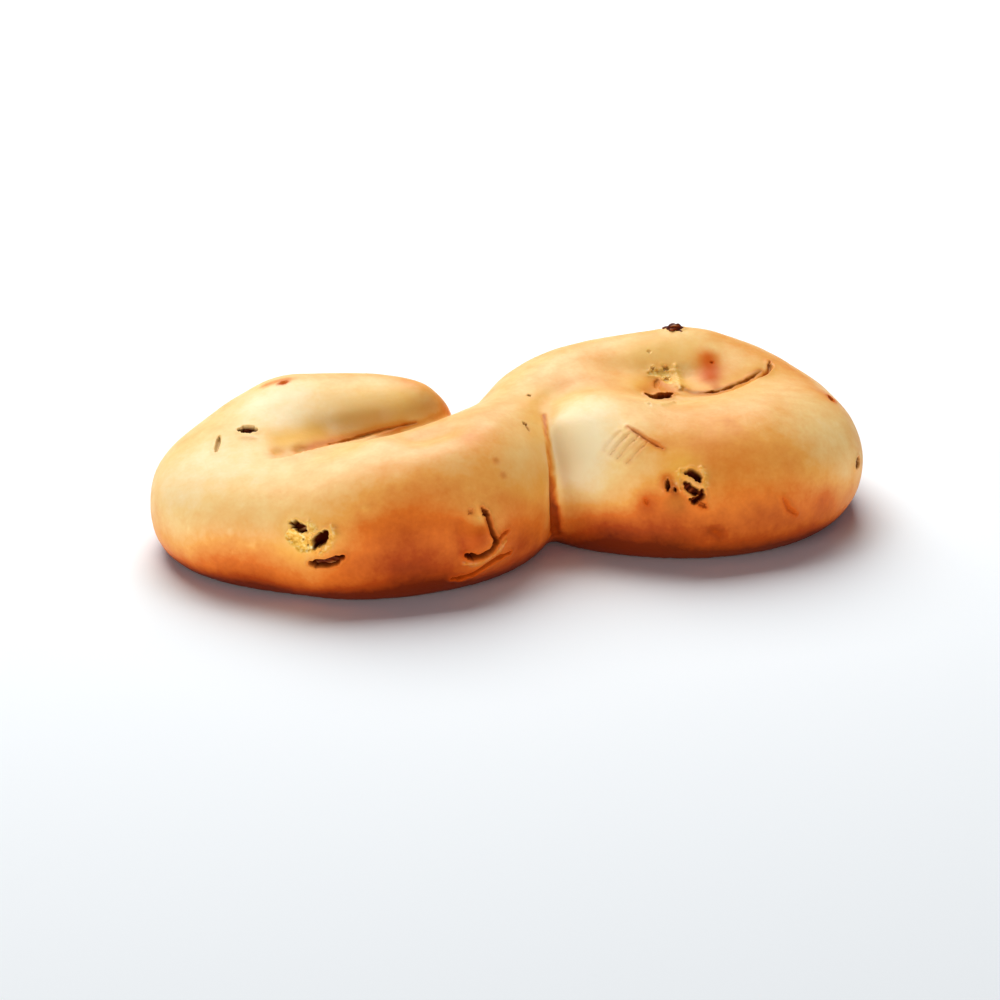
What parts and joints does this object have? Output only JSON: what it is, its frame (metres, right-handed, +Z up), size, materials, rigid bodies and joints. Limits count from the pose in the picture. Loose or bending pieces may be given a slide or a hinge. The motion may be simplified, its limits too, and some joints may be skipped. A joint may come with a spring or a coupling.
{
  "type": "saffron bun",
  "caption": "S-shaped sweet bun of one rope of yeast dough, both ends curled in, with raisins set in its glazed golden crust; lies on a flat base.",
  "frame": {"origin": "middle of the bun's length and width, on the tray side", "axes": "+X along the length towards the right lobe, +Y from the front of the bun to its back, +Z up"},
  "size_m": [0.1552, 0.0734, 0.0327],
  "materials": {
    "crust": "egg-washed bread crust, golden to orange brown, satin with soft gloss",
    "raisin": "dried grape skin, dark red brown, wrinkled and slightly glossy"
  },
  "bodies": {
    "root": {"dough": "crust", "raisin_left_front_upper": "raisin", "raisin_left_front_lower": "raisin", "raisin_middle_front": "raisin", "raisin_left_top": "raisin", "raisin_left_rim": "raisin", "raisin_right_front": "raisin", "raisin_right_crease": "raisin", "raisin_right_rim": "raisin", "raisin_right_top": "raisin", "raisin_right_side": "raisin", "raisin_back_right": "raisin", "raisin_back_middle": "raisin", "raisin_back_left": "raisin", "raisin_back_end": "raisin"}
  },
  "joints": []
}
